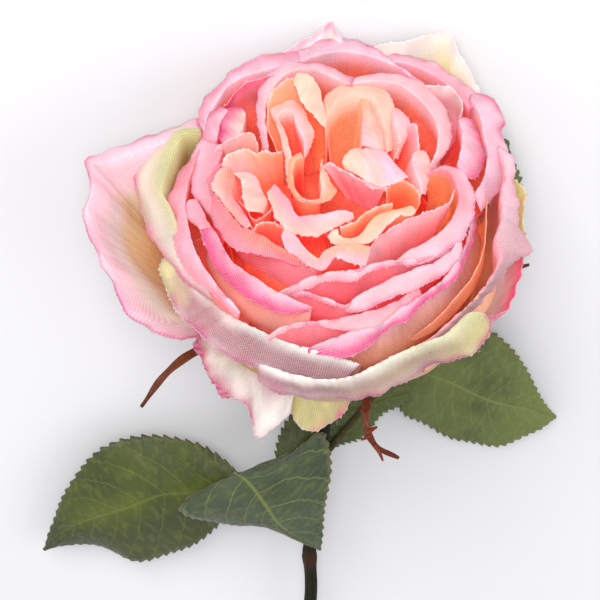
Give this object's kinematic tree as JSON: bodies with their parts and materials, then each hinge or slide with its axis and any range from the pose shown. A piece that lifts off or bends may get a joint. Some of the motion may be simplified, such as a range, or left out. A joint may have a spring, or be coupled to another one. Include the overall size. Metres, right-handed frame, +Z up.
{
  "type": "single-bloom rose stem",
  "caption": "Cut garden rose lying down: a full quartered bloom in apricot and pink woven cloth with cream guard petals, long sepals and toothed leaves on a dark stem.",
  "frame": {"origin": "centre of the bounding box, at the surface the stem lies on", "axes": "+Y from the cut end to the bloom, +Z up off the surface, +X to the right of the bloom seen from above with the bloom at the top"},
  "size_m": [0.171, 0.3148, 0.0989],
  "materials": {
    "guard_cloth": "fine cream weave, pink at the rims",
    "pink_cloth": "fine pink weave, frayed at the rims",
    "heart_cloth": "fine apricot weave, orange in the folds",
    "sepal_plastic": "matte red-brown and olive",
    "stem_plastic": "matte dark brown-green with fine ridges",
    "leaf_cloth": "matte olive with pressed veins"
  },
  "bodies": {
    "root": {"guard_petals": "guard_cloth", "pink_petals": "pink_cloth", "heart_petals": "heart_cloth", "calyx": "sepal_plastic", "stem": "stem_plastic", "left_leaf_spray": "leaf_cloth", "right_leaf_spray": "leaf_cloth"}
  },
  "joints": []
}
